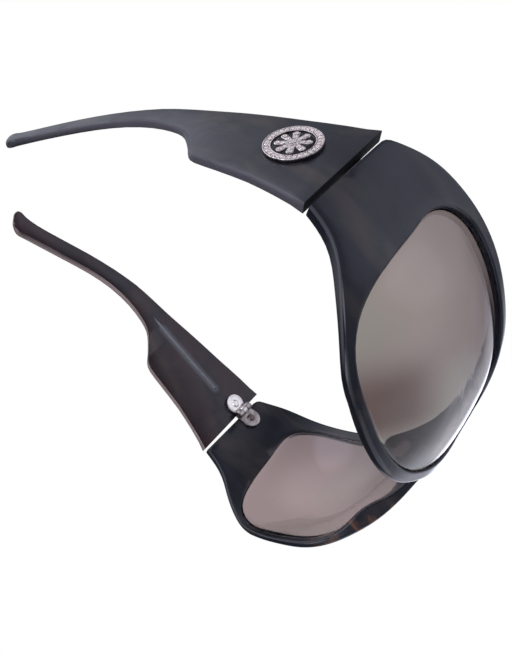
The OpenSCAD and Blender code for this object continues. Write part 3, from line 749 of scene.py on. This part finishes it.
def merged_copy(node, name):
    piece = bpy.data.objects.new(name, nodes[node].data.copy())
    piece.data.materials.clear()
    bpy.context.scene.collection.objects.link(piece)
    make_active(piece)
    bpy.ops.object.mode_set(mode="EDIT")
    bpy.ops.mesh.select_all(action="SELECT")
    bpy.ops.mesh.customdata_custom_splitnormals_clear()
    bpy.ops.mesh.remove_doubles(threshold=MERGE_WITHIN)
    bpy.ops.mesh.tris_convert_to_quads(
        face_threshold=FLAT_ENOUGH, shape_threshold=SQUARE_ENOUGH)
    bpy.ops.object.mode_set(mode="OBJECT")
    return piece


def apply_modifier(piece, kind, **values):
    make_active(piece)
    modifier = piece.modifiers.new(kind.lower(), kind)
    for name, value in values.items():
        setattr(modifier, name, value)
    bpy.ops.object.modifier_apply(modifier=modifier.name)


def rounded(piece, width, angle=35.0, segments=2):
    apply_modifier(piece, "BEVEL", width=width, segments=segments, limit_method="ANGLE",
                   angle_limit=math.radians(angle), harden_normals=False)


def sharp_edges_where(piece, wanted):
    make_active(piece)
    bpy.ops.object.mode_set(mode="EDIT")
    bpy.ops.mesh.select_mode(type="EDGE")
    bpy.ops.mesh.select_all(action="DESELECT")
    bpy.ops.mesh.edges_select_sharp(sharpness=SHARP_FROM)
    bpy.ops.object.mode_set(mode="OBJECT")
    for edge in piece.data.edges:
        ends = [piece.data.vertices[end].co for end in edge.vertices]
        if edge.select and not all(wanted(spot) for spot in ends):
            edge.select = False
    bpy.ops.object.mode_set(mode="EDIT")


def back_to_object():
    bpy.ops.mesh.select_mode(type="VERT")
    bpy.ops.object.mode_set(mode="OBJECT")


def subdivided(piece, levels):
    apply_modifier(piece, "SUBSURF", levels=levels, render_levels=levels)


def smooth(piece, angle=35.0):
    make_active(piece)
    bpy.ops.object.shade_smooth_by_angle(angle=math.radians(angle))


def dress(piece, node, material):
    piece.data.materials.clear()
    piece.data.materials.append(material)
    body = next(name for name, empty in frame["bodies"].items() if nodes[node].parent == empty)
    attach(piece, body)
    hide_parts(node)
    print(piece.name, "stands for", node + ":", len(piece.data.polygons), "faces")


# %% [markdown]
# ## The moulded front
# One piece of plastic, curved round the face, with rounded edges all round. The copy keeps the
# solid's shape, and one subdivision takes the last facets off its outline. The lower corners of the
# end pieces are cut square in the picture while the upper ones are soft, and a subdivision would
# round both alike, so only the edges of the lower corners get a crease first.

# %% Front
CORNER_FROM_Y = -0.040
CORNER_UP_TO_Z = 0.036
FULL_CREASE = 1.0
SHELL_SMOOTH = 40.0
front = merged_copy("front_frame", "front")
sharp_edges_where(front, lambda spot: spot.y > CORNER_FROM_Y and spot.z < CORNER_UP_TO_Z)
bpy.ops.transform.edge_crease(value=FULL_CREASE)
back_to_object()
subdivided(front, 1)
smooth(front, SHELL_SMOOTH)
dress(front, "front_frame", front_plastic)

# %% [markdown]
# ## Temples
# Each temple is wide at the hinge and steps down to a thin arm with a rounded tip. It is sawn out
# of flat sheet, tumbled and bent. Its end at the hinge is a plain saw cut, so the solid is sharp
# there. Tumbling always rounds such edges, and a weighted bevel does it for those edges alone. The
# operator adds to the weight that an edge has, so a second turn gives the top ones the full width.

# %% Temples
SIDES = ("right", "left")
SAW_CUT_TO_Y = -0.010
TUMBLED_EDGE = 0.0010
TOP_EDGE_FROM_Z = 0.0480
CUT_EDGE_SHARE, TOP_EDGE_MORE = 0.35, 0.65
TEMPLE_SMOOTH = 30.0
for side in SIDES:
    temple = merged_copy("temple_" + side, "temple_sheet_" + side)
    sharp_edges_where(temple, lambda spot: spot.y < SAW_CUT_TO_Y)
    bpy.ops.transform.edge_bevelweight(value=CUT_EDGE_SHARE)
    back_to_object()
    sharp_edges_where(temple, lambda spot: spot.y < SAW_CUT_TO_Y and spot.z > TOP_EDGE_FROM_Z)
    bpy.ops.transform.edge_bevelweight(value=TOP_EDGE_MORE)
    back_to_object()
    apply_modifier(temple, "BEVEL", width=TUMBLED_EDGE, segments=3, limit_method="WEIGHT")
    smooth(temple, TEMPLE_SMOOTH)
    dress(temple, "temple_" + side, temple_plastic)

# %% [markdown]
# ## Lenses
# The lenses dome further than the front itself, and their edges run in a groove of the rims. Each
# could be cut out of a sphere, but the solid has the right dome and outline already. One subdivision
# smooths it, because a clear, shiny shell shows every facet.

# %% Lenses
for side in SIDES:
    lens = merged_copy("lens_" + side, "tinted_lens_" + side)
    subdivided(lens, 1)
    smooth(lens, SHELL_SMOOTH)
    dress(lens, "lens_" + side, lens_finish)

# %% [markdown]
# ## Hinges and small metal
# Each hinge has two leaves with round lobes, a slotted screw and a rivet in each leaf. Sharp edges
# on metal always carry a tiny rounding, and without it they look cut from paper, so a narrow bevel
# is all that the copies need. The badge's plate is done with them. Each row says which node a piece
# stands for, what it is called, its finish, its slot and how far it is rounded.

# %% Hinges
SMALL_METAL = (
    ("hinge_front_", "front_leaf_", worn_shaded_nickel, "hinge_metal", 0.00012),
    ("hinge_temple_", "temple_leaf_", nickel, "hinge_metal", 0.00012),
    ("hinge_screw_", "slotted_screw_", screw_steel, "screw_steel", 0.00006),
    ("front_rivet_", "front_rivet_head_", dark_steel, "rivet_steel", 0.00012),
    ("temple_rivet_", "temple_rivet_head_", nickel, "rivet_steel", 0.00012),
    ("core_wire_", "wire_core_", wire_steel, "core_wire", 0.0),
    ("badge_base_", "badge_plate_", enamel, "black_enamel", 0.00015),
)
for node_stem, piece_stem, material, slot, edge in SMALL_METAL:
    for side in SIDES:
        piece = merged_copy(node_stem + side, piece_stem + side)
        if edge:
            rounded(piece, edge)
        smooth(piece)
        dress(piece, node_stem + side, material)

# %% [markdown]
# ## The badge's layout
# Each badge lies on the outer face of a temple. Everything on it is laid out flat, with X along
# the temple, Y up and Z out of the badge, and moved to its place at the end. The right badge is the
# mirror image, but its pattern is the same from both sides, so a turned copy does and no face
# flips.

# %% Badge layout
BADGE_PLACE = Vector((0.061289, -0.000398, 0.031953))
BADGE_UP = Vector((0.05364, 0.17676, 0.98279))
BADGE_OUT = Vector((0.92542, 0.36094, -0.11542))
ROW_HALF_W, ROW_HALF_H = 0.00645, 0.00695
PETAL_HALF_W, PETAL_HALF_H = 0.003752, 0.004252
ROW_FLOOR, RIM_TOP, FLOWER_TOP = 0.0008, 0.0010, 0.0009
RING_STONES, PETALS = 30, 8


def badge_frame(side):
    place, up, out = BADGE_PLACE.copy(), BADGE_UP.copy(), BADGE_OUT.copy()
    if side == "right":
        for vector in (place, up, out):
            vector.x = -vector.x
    along = up.cross(out)
    return Matrix.Translation(place) @ Matrix((along, up, out)).transposed().to_4x4()


def on_oval(half_w, half_h, degrees):
    turn = math.radians(degrees)
    return half_w * math.cos(turn), half_h * math.sin(turn)


def join_all(pieces):
    clear_selection()
    for piece in pieces:
        piece.select_set(True)
    bpy.context.view_layer.objects.active = pieces[0]
    bpy.ops.object.join()
    return pieces[0]


def placed_copies(pattern, rows, side, name):
    made = []
    to_badge = badge_frame(side)
    for x, y, z, size, height, degrees in rows:
        piece = bpy.data.objects.new(name, pattern.data.copy())
        bpy.context.scene.collection.objects.link(piece)
        turn = Matrix.Rotation(math.radians(degrees), 4, "Z")
        scale = Matrix.Diagonal((size, size, height, 1.0))
        piece.data.transform(to_badge @ Matrix.Translation((x, y, z)) @ turn @ scale)
        made.append(piece)
    return join_all(made)


print("badge at", [round(1000 * x, 1) for x in BADGE_PLACE], "mm,", RING_STONES, "stones round it")


# %% [markdown]
# ## Cut stones
# The badge sparkles because each stone is cut: a belt of small upright faces, a crown of slanting
# ones turned half a step against each other, and a flat table. One stone is cut from a drum of
# eight sides by two insets, the first with a twist, and its faces stay flat shaded. The pattern
# has a radius and a height of one unit. Copies of it in four sizes fill the row in the rim and the
# flower, which has one stone in its middle and two along each petal.

# %% Cut stones
STONE_SIDES = 8
BELT_HEIGHT = 0.4
CROWN_INSET, CROWN_RISE = 0.22, 0.36
TABLE_INSET, TABLE_RISE = 0.24, 0.24
FACES_UP = 0.9


def cut_one_stone():
    clear_selection()
    bpy.ops.mesh.primitive_cylinder_add(
        vertices=STONE_SIDES, radius=1.0, depth=BELT_HEIGHT, location=(0, 0, BELT_HEIGHT / 2))
    stone = bpy.context.active_object
    bpy.ops.object.transform_apply(location=True, rotation=False, scale=False)
    bpy.ops.object.mode_set(mode="EDIT")
    bpy.ops.mesh.select_mode(type="FACE")
    bpy.ops.mesh.select_all(action="DESELECT")
    bpy.ops.object.mode_set(mode="OBJECT")
    for face in stone.data.polygons:
        face.select = face.normal.z > FACES_UP
    bpy.ops.object.mode_set(mode="EDIT")
    bpy.ops.mesh.inset(thickness=CROWN_INSET, depth=CROWN_RISE)
    bpy.ops.transform.rotate(
        value=math.pi / STONE_SIDES, orient_axis="Z", center_override=(0, 0, 0))
    bpy.ops.mesh.inset(thickness=TABLE_INSET, depth=TABLE_RISE)
    bpy.ops.mesh.select_all(action="SELECT")
    bpy.ops.mesh.quads_convert_to_tris()
    bpy.ops.mesh.select_mode(type="VERT")
    bpy.ops.object.mode_set(mode="OBJECT")
    return stone


# %% Stones in their places
STONE_HEIGHT = 0.0004
RING_STONE, MIDDLE_STONE, PETAL_STONE, INNER_STONE = 0.00061, 0.00127, 0.00068, 0.00047
MIDDLE_TURN, INNER_TURN = math.degrees(0.2), 15.0
INNER_SHARE = 0.62


def half_step(number, count):
    return 360.0 * (number + 0.5) / count


def stone_rows():
    rows = []
    for number in range(RING_STONES):
        degrees = half_step(number, RING_STONES)
        x, y = on_oval(ROW_HALF_W, ROW_HALF_H, degrees)
        rows.append((x, y, ROW_FLOOR, RING_STONE, STONE_HEIGHT, degrees))
    rows.append((0.0, 0.0, FLOWER_TOP, MIDDLE_STONE, STONE_HEIGHT, MIDDLE_TURN))
    for number in range(PETALS):
        degrees = half_step(number, PETALS)
        x, y = on_oval(PETAL_HALF_W, PETAL_HALF_H, degrees)
        rows.append((x, y, FLOWER_TOP, PETAL_STONE, STONE_HEIGHT, degrees))
        x, y = INNER_SHARE * x, INNER_SHARE * y
        rows.append((x, y, FLOWER_TOP, INNER_STONE, STONE_HEIGHT, degrees + INNER_TURN))
    return rows


one_stone = cut_one_stone()
for side in SIDES:
    stones = placed_copies(one_stone, stone_rows(), side, "cut_stones_" + side)
    dress(stones, "badge_stones_" + side, stone_glass)
bpy.data.objects.remove(one_stone)

# %% [markdown]
# ## Rim and flower with their claws
# Stones this small are held by claws: beads raised from the metal at their corners and pushed over
# their edges. A low ball of a few faces stands for each: two in every gap of the row, three round
# each petal's stone and one between two petals, at the middle stone. The rim and the flower
# themselves are the solids with softened edges.

# %% Claws
CLAW_SIZE = 0.00015
CLAW_SIDES, CLAW_RINGS = 8, 5
RING_CLAW_REACH, PETAL_CLAW_REACH, MIDDLE_CLAW_REACH = 0.00056, 0.00072, 0.00136
RING_CLAW_UP, PETAL_CLAW_UP, MIDDLE_CLAW_UP = -0.00002, 0.00005, 0.00006
PETAL_CLAW_TURNS = (-75.0, 0.0, 75.0)
BADGE_EDGE = 0.00007


def make_claw():
    clear_selection()
    bpy.ops.mesh.primitive_uv_sphere_add(segments=CLAW_SIDES, ring_count=CLAW_RINGS, radius=1.0)
    claw = bpy.context.active_object
    bpy.ops.object.shade_smooth()
    return claw


def claw_row(x, y, z):
    return x, y, z, CLAW_SIZE, CLAW_SIZE, 0.0


def rim_claws():
    rows = []
    for number in range(RING_STONES):
        for reach in (-RING_CLAW_REACH, RING_CLAW_REACH):
            degrees = 360.0 * number / RING_STONES
            x, y = on_oval(ROW_HALF_W + reach, ROW_HALF_H + reach, degrees)
            rows.append(claw_row(x, y, RIM_TOP + RING_CLAW_UP))
    return rows


def flower_claws():
    rows = []
    for number in range(PETALS):
        degrees = half_step(number, PETALS)
        x, y = on_oval(PETAL_HALF_W, PETAL_HALF_H, degrees)
        for turn in PETAL_CLAW_TURNS:
            away_x, away_y = on_oval(PETAL_CLAW_REACH, PETAL_CLAW_REACH, degrees + turn)
            rows.append(claw_row(x + away_x, y + away_y, FLOWER_TOP + PETAL_CLAW_UP))
        x, y = on_oval(MIDDLE_CLAW_REACH, MIDDLE_CLAW_REACH, 360.0 * number / PETALS)
        rows.append(claw_row(x, y, FLOWER_TOP + MIDDLE_CLAW_UP))
    return rows


one_claw = make_claw()
for node_stem, piece_stem, rows in (("badge_ring_", "badge_rim_", rim_claws()),
                                    ("badge_rosette_", "badge_flower_", flower_claws())):
    for side in SIDES:
        piece = merged_copy(node_stem + side, piece_stem + side)
        rounded(piece, BADGE_EDGE)
        smooth(piece)
        claws = placed_copies(one_claw, rows, side, piece_stem + "claws_" + side)
        join_all([piece, claws])
        dress(piece, node_stem + side, pink_silver)
bpy.data.objects.remove(one_claw)
